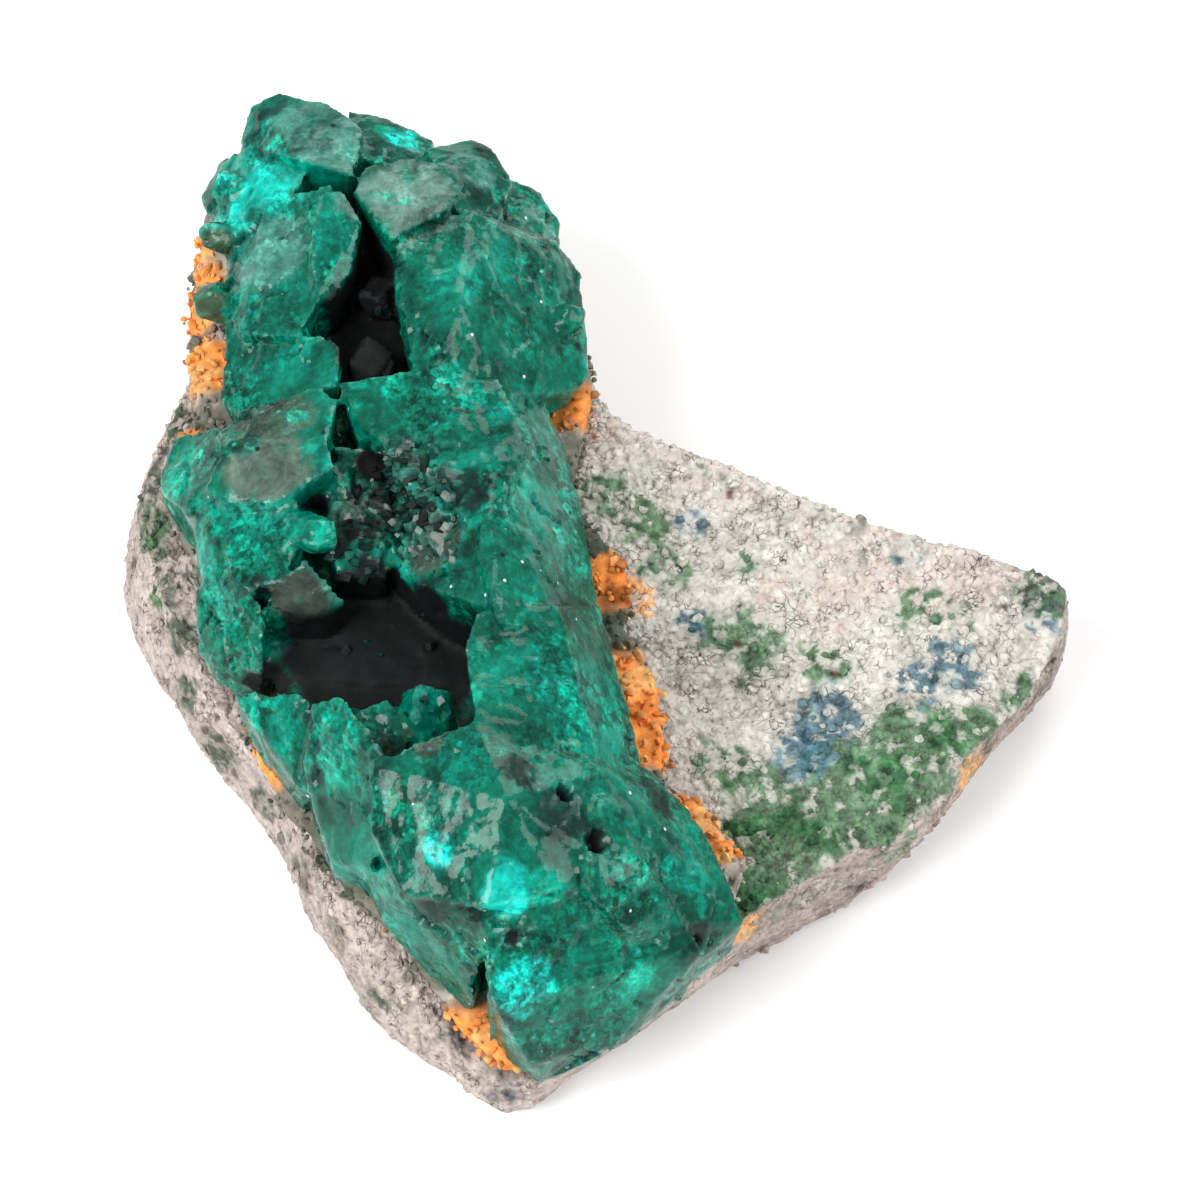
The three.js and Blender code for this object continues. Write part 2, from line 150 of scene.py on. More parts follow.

# Patches of colour on the crystals: colour, middle, radius, and whether it stays on the one flat face there.
# The sea grey, pale grey, lens grey and frost patches are painted sheen, light reflected off flat faces.
CRYSTAL_PATCHES = [
    (EMERALD, (-2.5, -18.5, 13.5), 7.5, False),
    (DEEP, (-16.8, 25.1, 14.6), 1.4, False),
    (SEA_GREY_SHEEN, (-14.4, 22.0, 16.0), 3.6, True),
    (TURQUOISE, (-9.9, 23.7, 13.6), 1.1, False),
    (PALE_GREY_SHEEN, (-9.9, 17.9, 17.1), 3.2, True),
    (SEA_GREY_SHEEN, (-6.3, 20.5, 15.2), 1.5, False),
    (TURQUOISE, (-17.4, 19.9, 14.3), 2.6, True),
    (TEAL, (-18.4, 22.0, 13.4), 1.6, False),
    (SEA_GREY_SHEEN, (-16.5, 16.0, 15.0), 2.6, True),
    (TEAL, (-13.2, 15.4, 16.8), 1.8, True),
    (SEA_GREY_SHEEN, (-2.6, 18.8, 12.6), 1.6, False),
    (TEAL, (-15.4, 9.7, 14.4), 1.7, False),
    (LEAF, (-10.0, 6.9, 16.4), 0.7, False),
    (LEAF, (-7.3, 7.1, 16.6), 0.8, False),
    (LEAF, (-20.5, 4.4, 12.9), 1.8, False),
    (BROWN_GREY, (-15.8, 5.6, 15.6), 2.2, True),
    (LENS_GREY_SHEEN, (-16.1, 2.4, 16.0), 2.6, True),
    (TEAL, (-19.5, -0.8, 12.5), 1.4, False),
    (FROST_SHEEN, (-20.0, 1.5, 12.4), 0.6, True),
    (LEAF, (-18.1, -1.8, 14.3), 0.8, False),
    (LEAF, (-18.1, -4.0, 13.1), 1.3, False),
    (DARK_GREY, (-14.3, -3.6, 14.8), 2.2, True),
    (DEEP, (-6.2, 0.5, 17.2), 1.3, False),
    # Painted shade: dark gaps between the small crystals of the druzy zone
    (DRUSE_GAP_SHADE, (-9.4, 1.2, 16.0), 2.9, False),
    (DARK_GREY, (-8.0, -1.6, 16.0), 1.9, False),
    (DARK_GREY, (-11.2, 0.8, 14.8), 2.0, False),
    (LEAF, (-13.3, -1.7, 16.4), 0.8, False),
    (LEAF, (-16.0, -9.7, 12.3), 2.4, True),
    (LEAF, (-12.6, -12.6, 14.2), 2.2, True),
    (DEEP, (-13.8, -10.6, 13.7), 0.6, False),
    (DEEP, (-13.7, -11.8, 13.5), 0.6, False),
    (DEEP, (-13.5, -13.0, 12.7), 0.6, False),
    (DEEP, (-13.4, -14.2, 12.1), 0.5, False),
    (DARK_GREY, (-9.6, -12.2, 14.2), 1.1, False),
    (EMERALD, (-9.0, -16.0, 15.8), 2.2, False),
    (EMERALD, (-7.2, 4.4, 16.9), 2.4, False),
    (DEEP, (-1.6, -17.3, 16.6), 1.8, False),
    (DEEP, (-3.6, -15.2, 17.2), 1.2, False),
    (DARK_GREY, (-8.0, -13.2, 16.6), 1.2, False),
    (SEA_GREY_SHEEN, (-10.8, -17.4, 14.2), 1.2, True),
    (TURQUOISE, (-7.5, -18.6, 15.7), 1.0, False),
    (TURQUOISE, (-4.1, -20.8, 15.7), 1.5, False),
    (LEAF, (-2.4, -20.5, 15.5), 1.2, False),
    (LEAF, (1.8, -19.2, 14.7), 1.0, False),
    (TURQUOISE, (-3.2, -24.0, 12.1), 1.8, False),
    (MOSS, (-19.2, 17.5, 13.4), 1.0, False),
    (MOSS, (-19.6, 14.2, 12.6), 1.0, False),
    (DEEP, (-6.1, 0.4, 17.1), 1.5, False),
    # Painted shade: black spots standing for shade in small pits and crevices
    (BLACK, (-10.8, 3.2, 15.0), 0.9, False),
    (BLACK, (-11.8, -0.5, 14.7), 0.8, False),
    (BLACK, (-16.4, -3.2, 14.4), 0.7, False),
    (DEEP, (-8.0, -20.7, 13.0), 1.1, False),
    (DEEP, (-6.1, -21.7, 14.3), 1.0, False),
    (DEEP, (-3.7, -22.5, 13.9), 0.9, False),
    (SEA_GREY_SHEEN, (-4.8, -25.1, 10.8), 1.6, True),
    (DEEP, (4.9, -20.1, 10.2), 0.8, False),
    (TEAL, (4.3, -18.0, 12.0), 1.6, False),
    (DEEP, (3.0, -14.3, 12.6), 1.2, False),
    (LEAF, (2.1, -22.4, 9.8), 1.0, False),
]

# The hollows between the crystals, painted black as shade below a level: plan middle, half widths and level
HOLLOWS = [
    ((-10.4, -5.3), (5.1, 4.5), 13.9),
    ((-11.3, 13.0), (2.4, 5.2), 15.9),
]

# More painted shade, dark inside the hollows and crevices: middle and radius
HOLLOW_DARK = [
    ((-8.1, -4.1, 14.1), 1.5),
    ((-11.0, -2.4, 13.8), 1.2),
    ((-12.2, -3.0, 13.4), 1.3),
    ((-9.2, -8.8, 12.0), 2.4),
    ((-12.7, -1.0, 14.0), 0.9),
    ((-13.6, 1.2, 14.4), 1.0),
    ((-11.2, 3.4, 14.8), 0.9),
    ((-16.2, -6.9, 10.8), 1.5),
    ((-12.0, 11.4, 12.6), 2.0),
]

# Small pits sunk into the crystals, with painted shade in them: middle, radius and depth
PITS = [
    ((-1.4, -15.9, 16.4), 0.5, 0.8),
    ((0.1, -18.1, 15.6), 0.7, 1.0),
    ((-3.9, -22.4, 13.9), 0.5, 0.3),
    ((4.6, -20.4, 9.6), 0.6, 0.5),
    ((-7.4, 16.0, 17.2), 0.3, 0.4),
]

# How rough the crystals are: middle, radius and the strength of the broken relief there
RELIEF_ZONES = [
    ((-9.6, 0.6, 15.6), 3.2, 2.3),
    ((-10.5, -6.0, 11.6), 4.4, 0.3),
    ((-11.5, 13.5, 13.0), 2.6, 0.4),
    ((-8.6, -16.4, 15.6), 3.4, 0.25),
    ((-14.4, 22.0, 16.0), 2.4, 0.2),
    ((-9.9, 17.9, 17.1), 2.4, 0.2),
    ((-16.0, 2.6, 16.0), 2.6, 0.2),
    ((-2.8, -6.0, 16.0), 4.5, 0.3),
    ((-13.2, 15.4, 16.8), 1.8, 0.2),
]

# Where small crystals line the surface: middle, radius and share of the points that carry one
DRUSE_ZONES = [
    ((-9.6, 0.8, 15.6), 3.2, 0.085),
    ((-8.0, -2.0, 15.8), 1.8, 0.07),
    ((-12.2, -1.4, 14.4), 1.6, 0.06),
    ((-8.6, -9.8, 14.0), 1.6, 0.02),
    ((-11.5, 12.5, 13.0), 2.4, 0.008),
    ((-10.5, -6.0, 11.6), 3.6, 0.005),
]

# Patches on the rock's top, in plan: colour, the colour it fades to, middle, radius and share of grains
ROCK_PATCHES = [
    (PINKISH, CREAM, (1.1, 8.0), 2.6, 0.6),
    (PINKISH, CREAM, (6.0, 6.0), 2.6, 0.7),
    (PINKISH, CREAM, (13.0, 2.4), 3.4, 0.7),
    (PINKISH, CREAM, (10.5, -0.5), 2.6, 0.5),
    (PINKISH, CREAM, (17.5, 1.0), 2.6, 0.6),
    (MALACHITE, PALE_GREEN, (0.4, 4.9), 1.2, 0.6),
    (MALACHITE, PALE_GREEN, (2.3, 3.4), 1.2, 0.6),
    (MALACHITE, PALE_GREEN, (3.4, 0.9), 1.3, 0.6),
    (MALACHITE, PALE_GREEN, (7.6, 1.3), 0.6, 0.8),
    (MALACHITE, PALE_GREEN, (5.6, -2.4), 0.9, 0.6),
    (MALACHITE, PALE_GREEN, (7.9, -2.8), 1.5, 0.75),
    (MALACHITE, PALE_GREEN, (11.6, -4.0), 1.3, 0.55),
    (MALACHITE, PALE_GREEN, (16.2, -1.0), 1.2, 0.45),
    (MALACHITE, PALE_GREEN, (18.6, -1.2), 0.9, 0.5),
    (MALACHITE, PALE_GREEN, (6.4, -9.2), 1.4, 0.5),
    (MALACHITE, PALE_GREEN, (8.4, -11.4), 2.2, 0.65),
    (MALACHITE, PALE_GREEN, (12.6, -11.6), 3.4, 0.85),
    (MALACHITE, PALE_GREEN, (8.8, -14.6), 3.2, 0.9),
    (MALACHITE, PALE_GREEN, (15.6, -9.2), 2.6, 0.85),
    (MALACHITE, PALE_GREEN, (7.6, -17.2), 2.4, 0.9),
    (MALACHITE, PALE_GREEN, (18.6, -8.0), 2.0, 0.85),
    (MALACHITE, PALE_GREEN, (21.2, -5.6), 1.2, 0.6),
    (AZURE, PALE_BLUE, (10.2, -8.8), 1.5, 0.6),
    (AZURE, PALE_BLUE, (11.7, -6.7), 1.6, 0.7),
    (AZURE, PALE_BLUE, (16.6, -4.8), 1.6, 0.3),
    (AZURE, PALE_BLUE, (18.0, -3.8), 1.4, 0.5),
    (AZURE, PALE_BLUE, (22.3, -0.9), 1.0, 0.6),
    (AZURE, PALE_BLUE, (4.8, 3.2), 0.8, 0.5),
    (AZURE, PALE_BLUE, (4.8, -1.9), 0.7, 0.5),
    (AZURE, PALE_BLUE, (15.6, 2.0), 0.9, 0.4),
    (SLATE_GREEN, MALACHITE, (22.8, 0.2), 1.5, 0.8),
    (SLATE_GREEN, MALACHITE, (-20.6, 9.6), 1.4, 0.6),
    (RUST_RED, RUST_RED, (6.8, 4.6), 0.24, 0.9),
    (RUST_RED, RUST_RED, (12.0, -4.4), 0.24, 0.9),
    (RUST_RED, RUST_RED, (7.2, -2.9), 0.18, 0.8),
    (RUST_RED, RUST_RED, (20.6, -0.6), 0.22, 0.9),
    (OCHRE, CREAM, (2.4, -0.6), 0.9, 0.5),
]

# Stains on the rock's walls: colour, middle and radius
WALL_STAINS = [
    (MALACHITE, (-22.4, 3.5, 8.0), 1.5),
    (SLATE_GREEN, (-22.8, 6.4, 8.0), 1.2),
    (MALACHITE, (-21.6, 0.6, 6.6), 1.1),
    (SLATE_GREEN, (-21.0, -2.3, 7.2), 1.3),
    (SLATE_GREEN, (-20.5, -4.6, 5.6), 1.2),
    (SLATE_GREEN, (-19.0, -7.2, 4.2), 1.5),
    (SLATE_GREEN, (-16.6, -10.0, 4.2), 1.3),
    (GREIGE, (-14.4, -14.0, 4.4), 1.6),
    (GREIGE, (-12.6, -17.8, 5.0), 1.2),
    (SLATE_GREEN, (-10.2, -20.6, 4.4), 1.0),
    (INK, (-6.6, -23.2, 5.0), 1.4),
    (INK, (-4.6, -25.2, 2.9), 1.1),
    (OCHRE, (7.4, -17.8, 5.2), 1.3),
    (OCHRE, (18.4, -9.0, 5.6), 1.5),
    (PALE_GREEN, (14.6, -12.6, 5.0), 1.6),
]

# Where the seam shows its rusty orange: middle and radius
SEAM_SHOWN = [
    ((-20.2, 19.2, 9.4), 1.1),
    ((-20.2, 16.4, 9.4), 1.9),
    ((-19.8, 12.2, 9.5), 1.8),
    ((-20.6, 7.4, 9.6), 0.9),
    ((-1.6, 9.3, 10.0), 1.6),
    ((0.9, -0.5, 9.6), 1.5),
    ((1.9, -6.3, 8.6), 2.4),
    ((2.6, -8.7, 8.2), 1.6),
    ((5.0, -12.0, 7.6), 1.8),
    ((6.2, -14.5, 8.0), 1.0),
    ((6.2, -19.6, 7.2), 1.4),
    ((-5.2, -23.9, 4.8), 2.4),
    ((-4.0, -25.1, 3.5), 1.8),
    ((-16.6, -9.7, 9.0), 1.8),
    ((-10.5, -19.1, 6.9), 0.8),
]


# Random fields

def hashed(cells, salt):
    """A repeatable value in 0 to 1 for each whole-number cell."""
    c = cells.astype(np.int64).astype(np.uint32)
    h = c[:, 0] * np.uint32(0x8DA6B343) ^ c[:, 1] * np.uint32(0xD8163841) ^ c[:, 2] * np.uint32(0xCB1AB31F)
    h ^= np.uint32((salt * 0x9E3779B9) & 0xFFFFFFFF)
    for shift, factor in ((16, 0x7FEB352D), (15, 0x846CA68B)):
        h ^= h >> np.uint32(shift)
        h *= np.uint32(factor)
    h ^= h >> np.uint32(16)
    return h / 2.0**32


def noise(points, size, salt):
    """Smooth noise in -1 to 1 with lumps about size across."""
    q = points / size
    base = np.floor(q)
    t = q - base
    t = t * t * (3 - 2 * t)
    total = np.zeros(len(points))
    for corner in np.ndindex(2, 2, 2):
        corner = np.array(corner)
        weight = np.prod(np.where(corner, t, 1 - t), axis=1)
        total += weight * hashed(base + corner, salt)
    return 2 * total - 1


def fractal(points, size, salt, octaves=3):
    """Noise with finer and fainter noise added."""
    total = np.zeros(len(points))
    for octave in range(octaves):
        total += noise(points, size / 2**octave, salt + octave) / 2**octave
    return total / (2 - 0.5 ** (octaves - 1))


def cellular(points, size, salt):
    """For each point its cell's whole-number key, the offset from the cell's seed, and the edge distance."""
    q = points / size
    base = np.floor(q)
    nearest = np.full(len(points), np.inf)
    second = np.full(len(points), np.inf)
    key = np.zeros_like(points)
    offset = np.zeros_like(points)
    for step in np.ndindex(3, 3, 3):
        cell = base + np.array(step) - 1
        seed = cell + np.stack([hashed(cell, salt + axis) for axis in range(3)], axis=1)
        away = q - seed
        distance = np.linalg.norm(away, axis=1)
        closer = distance < nearest
        second = np.where(closer, nearest, np.minimum(second, distance))
        nearest = np.where(closer, distance, nearest)
        key[closer] = cell[closer]
        offset[closer] = away[closer]
    return key, offset * size, (second - nearest) * size


def facets(points, size, tilt, step, salt):
    """Relief of small flat faces: each cell is a plane with its own tilt and height."""
    key, offset, _ = cellular(points, size, salt)
    slope = np.stack([hashed(key, salt + 11 + axis) for axis in range(3)], axis=1) - 0.5
    height = hashed(key, salt + 17) - 0.5
    return 2 * tilt * np.sum(offset * slope, axis=1) + step * height


def smoothstep(value, low, high):
    t = np.clip((value - low) / (high - low), 0, 1)
    return t * t * (3 - 2 * t)


def patch(points, middle, radius, ragged, salt):
    """1 inside a ragged blob and 0 outside."""
    middle = np.asarray(middle)
    distance = np.linalg.norm(points[:, : len(middle)] - middle, axis=1) / radius
    distance += ragged * fractal(points, max(0.5 * radius, 0.4), salt)
    return 1 - smoothstep(distance, 0.65, 1.05)


def blend(colours, colour, share):
    """Colours moved towards one colour, or one colour for each point, by a share."""
    return colours + (np.asarray(colour) - colours) * share[:, None]


# Meshes

def new_piece(name, points, faces, colours, sharp=None):
    """An object with points in millimetres, faces of equal corner count and a colour for each point."""
    points = np.ascontiguousarray(points * MM, dtype=np.float32)
    faces = np.ascontiguousarray(faces, dtype=np.int32)
    corners = faces.shape[1]
    mesh = bpy.data.meshes.new(name)
    mesh.vertices.add(len(points))
    mesh.vertices.foreach_set("co", points.ravel())
    mesh.loops.add(faces.size)
    mesh.loops.foreach_set("vertex_index", faces.ravel())
    mesh.polygons.add(len(faces))
    mesh.polygons.foreach_set("loop_start", np.arange(0, faces.size, corners, dtype=np.int32))
    mesh.update(calc_edges=True)
    mesh.validate()
    tint = mesh.attributes.new("tint", "FLOAT_VECTOR", "POINT")
    tint.data.foreach_set("vector", np.clip(colours, 0, 1).astype(np.float32).ravel())
    mesh.shade_smooth()
    if sharp is not None:
        mesh.set_sharp_from_angle(angle=math.radians(sharp))
    piece = bpy.data.objects.new(name, mesh)
    bpy.context.scene.collection.objects.link(piece)
    return piece


def node_arrays(node):
    """A CAD node's points in millimetres and its triangles."""
    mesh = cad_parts[node].data
    points = np.empty(len(mesh.vertices) * 3, dtype=np.float32)
    mesh.vertices.foreach_get("co", points)
    mesh.calc_loop_triangles()
    triangles = np.empty(len(mesh.loop_triangles) * 3, dtype=np.int32)
    mesh.loop_triangles.foreach_get("vertices", triangles)
    return points.reshape(-1, 3).astype(float) / MM, triangles.reshape(-1, 3)


def held_mesh(points, faces, kind, **settings):
    """The arrays of a surface after one modifier: points, unit normals and triangles or quads."""
    source = bpy.data.meshes.new("source")
    source.from_pydata(points.tolist(), [], faces.tolist())
    holder = bpy.data.objects.new("source", source)
    bpy.context.scene.collection.objects.link(holder)
    weights = settings.pop("weights", None)
    modifier = holder.modifiers.new("change", kind)
    if weights is not None:
        group = holder.vertex_groups.new(name="chosen")
        group.add(np.flatnonzero(weights).tolist(), 1.0, "REPLACE")
        modifier.vertex_group = group.name
    for key, value in settings.items():
        setattr(modifier, key, value)
    result = bpy.data.meshes.new_from_object(holder.evaluated_get(bpy.context.evaluated_depsgraph_get()))
    count = len(result.vertices)
    co = np.empty(count * 3, dtype=np.float32)
    result.vertices.foreach_get("co", co)
    normal = np.empty(count * 3, dtype=np.float32)
    result.vertex_normals.foreach_get("vector", normal)
    corners = np.empty(len(result.loops), dtype=np.int32)
    result.loops.foreach_get("vertex_index", corners)
    sides = len(result.loops) // len(result.polygons)
    bpy.data.objects.remove(holder)
    bpy.data.meshes.remove(source)
    bpy.data.meshes.remove(result)
    return co.reshape(-1, 3).astype(float), normal.reshape(-1, 3).astype(float), corners.reshape(-1, sides)


def remeshed(node, voxel):
    """A CAD node's surface as an even mesh of quads, in millimetres."""
    return held_mesh(*node_arrays(node), "REMESH", mode="VOXEL", voxel_size=voxel)


def thinned(points, quads, hidden, share):
    """The mesh with its hidden part thinned to a share of its triangles."""
    ratio = 1 - (1 - share) * np.mean(hidden)
    return held_mesh(points, quads, "DECIMATE", weights=hidden, ratio=ratio, use_collapse_triangulate=True)


def tree_of(node):
    points, triangles = node_arrays(node)
    return BVHTree.FromPolygons(points.tolist(), triangles.tolist())


def covered(points, normals, trees, reach=40.0, lift=0.6):
    """Which points have another solid straight above them or close in front of them."""
    up = Vector((0, 0, 1))
    result = np.zeros(len(points), dtype=bool)
    for i, (p, n) in enumerate(zip(points, normals)):
        start = Vector(p)
        for tree in trees:
            above = tree.ray_cast(start, up, reach)[0]
            ahead = tree.ray_cast(start, Vector(n), lift)[0]
            if above is not None or ahead is not None:
                result[i] = True
                break
    return result


def icosahedron():
    golden = (1 + math.sqrt(5)) / 2
    points = []
    for a in (-1, 1):
        for b in (-golden, golden):
            points += [(0, a, b), (a, b, 0), (b, 0, a)]
    points = np.array(points) / math.hypot(1, golden)
    edge = min(np.linalg.norm(points[0] - q) for q in points[1:])
    near = np.linalg.norm(points[:, None] - points[None], axis=2) < 1.01 * edge
    faces = []
    for i in range(12):
        for j in range(i + 1, 12):
            for k in range(j + 1, 12):
                if near[i, j] and near[j, k] and near[i, k]:
                    out = np.dot(np.cross(points[j] - points[i], points[k] - points[i]), points[i])
                    faces.append((i, j, k) if out > 0 else (i, k, j))
    return points, np.array(faces)


def small_crystal():
    """A dioptase crystal two units long: a six-sided prism with three rhombic faces at its free end."""
    points = [(0, 0, 1.0)]
    for k in range(6):
        angle = k * math.pi / 3
        points.append((0.62 * math.cos(angle), 0.62 * math.sin(angle), 0.62 if k % 2 == 0 else 0.24))
    for k in range(6):
        angle = k * math.pi / 3
        points.append((0.62 * math.cos(angle), 0.62 * math.sin(angle), -1.0))
    faces = []
    for k in range(6):
        n = (k + 1) % 6
        faces += [(1 + k, 7 + k, 7 + n), (1 + k, 7 + n, 1 + n)]
    for k in (0, 2, 4):
        faces += [(0, 1 + k, 2 + k), (0, 2 + k, 1 + (k + 2) % 6)]
    for k in range(1, 5):
        faces.append((7, 7 + k + 1, 7 + k))
    return np.array(points), np.array(faces)


def turns(rng, count):
    """Random rotation matrices."""
    q = rng.normal(size=(count, 4))
    q /= np.linalg.norm(q, axis=1)[:, None]
    w, x, y, z = q.T
    return np.stack([
        np.stack([1 - 2 * (y * y + z * z), 2 * (x * y - z * w), 2 * (x * z + y * w)], axis=1),
        np.stack([2 * (x * y + z * w), 1 - 2 * (x * x + z * z), 2 * (y * z - x * w)], axis=1),
        np.stack([2 * (x * z - y * w), 2 * (y * z + x * w), 1 - 2 * (x * x + y * y)], axis=1),
    ], axis=1)


def upright(rng, normals, wander):
    """Rotation matrices whose third axis is near each normal, with a random turn about it."""
    axis = normals + wander * rng.normal(size=normals.shape)
    axis /= np.linalg.norm(axis, axis=1)[:, None]
    side = np.cross(axis, rng.normal(size=normals.shape))
    side /= np.linalg.norm(side, axis=1)[:, None]
    return np.stack([side, np.cross(axis, side), axis], axis=2)


def scattered(shape, places, rotations, scales, jitter, rng):
    """Copies of a small shape as one set of points and faces."""
    points, faces = shape
    count = len(places)
    bumps = 1 + jitter * rng.uniform(-1, 1, size=(count, len(points), 1))
    local = points[None] * bumps * scales[:, None, :]
    world = np.einsum("nij,nkj->nki", rotations, local) + places[:, None, :]
    index = faces[None] + (np.arange(count) * len(points))[:, None, None]
    return world.reshape(-1, 3), index.reshape(-1, faces.shape[1])


# Materials

def new_material(name):
    material = bpy.data.materials.new(name)
    material.use_nodes = True
    nodes = material.node_tree.nodes
    return material, nodes, material.node_tree.links, nodes["Principled BSDF"]


def texture(nodes, links, kind, scale, **settings):
    """A texture in the object's own metres."""
    place = nodes.new("ShaderNodeTexCoord")
    node = nodes.new(kind)
    links.new(place.outputs["Object"], node.inputs["Vector"])
    node.inputs["Scale"].default_value = scale
    for key, value in settings.items():
        node.inputs[key].default_value = value
    return node


def span(nodes, links, value, low, high, to_low=0.0, to_high=1.0):
    node = nodes.new("ShaderNodeMapRange")
    links.new(value, node.inputs["Value"])
    for key, number in (("From Min", low), ("From Max", high), ("To Min", to_low), ("To Max", to_high)):
        node.inputs[key].default_value = number
    return node.outputs["Result"]


def mixed(nodes, links, factor, a, b, mode="MIX"):
    node = nodes.new("ShaderNodeMix")
    node.data_type = "RGBA"
    node.blend_type = mode
    for socket, value in ((node.inputs[0], factor), (node.inputs[6], a), (node.inputs[7], b)):
        if isinstance(value, bpy.types.NodeSocket):
            links.new(value, socket)
        elif isinstance(value, tuple):
            socket.default_value = (*value, 1)
        else:
            socket.default_value = value
    return node.outputs[2]


def tint_of(nodes):
    node = nodes.new("ShaderNodeAttribute")
    node.attribute_name = "tint"
    return node.outputs["Color"]


def bumped(nodes, links, shader, height, strength, distance):
    node = nodes.new("ShaderNodeBump")
    node.inputs["Strength"].default_value = strength
    node.inputs["Distance"].default_value = distance
    links.new(height, node.inputs["Height"])
    links.new(node.outputs["Normal"], shader.inputs["Normal"])


def stretched(nodes, links, size, turn, **settings):
    """Noise with features of the given size in metres along turned axes."""
    place = nodes.new("ShaderNodeTexCoord")
    mapping = nodes.new("ShaderNodeMapping")
    mapping.vector_type = "TEXTURE"
    mapping.inputs["Rotation"].default_value = (0, 0, turn)
    mapping.inputs["Scale"].default_value = size
    links.new(place.outputs["Object"], mapping.inputs["Vector"])
    node = nodes.new("ShaderNodeTexNoise")
    node.inputs["Scale"].default_value = 1.0
    for key, value in settings.items():
        node.inputs[key].default_value = value
    links.new(mapping.outputs["Vector"], node.inputs["Vector"])
    return node


def combined(nodes, links, operation, a, b):
    node = nodes.new("ShaderNodeMath")
    node.operation = operation
    links.new(a, node.inputs[0])
    links.new(b, node.inputs[1])
    return node.outputs[0]


def specks(nodes, links, scale, above, inner, outer):
    """Scattered dots: cells whose random value is above a limit, out to a share of the cell's size."""
    cell = texture(nodes, links, "ShaderNodeTexVoronoi", scale)
    split = nodes.new("ShaderNodeSeparateColor")
    links.new(cell.outputs["Color"], split.inputs["Color"])
    chosen = span(nodes, links, split.outputs["Red"], above, above + 0.01)
    dot = span(nodes, links, cell.outputs["Distance"], outer, inner)
    return combined(nodes, links, "MULTIPLY", chosen, dot)


def warped(nodes, links, scale, reach):
    """The object's own metres, pushed about by noise so that cells get uneven edges."""
    push = texture(nodes, links, "ShaderNodeTexNoise", scale, Detail=2.0)
    centred = nodes.new("ShaderNodeVectorMath")
    centred.operation = "SUBTRACT"
    links.new(push.outputs["Color"], centred.inputs[0])
    centred.inputs[1].default_value = (0.5, 0.5, 0.5)
    moved = nodes.new("ShaderNodeVectorMath")
    moved.operation = "MULTIPLY_ADD"
    links.new(centred.outputs["Vector"], moved.inputs[0])
    moved.inputs[1].default_value = (reach, reach, reach)
    links.new(nodes.new("ShaderNodeTexCoord").outputs["Object"], moved.inputs[2])
    return moved.outputs["Vector"]


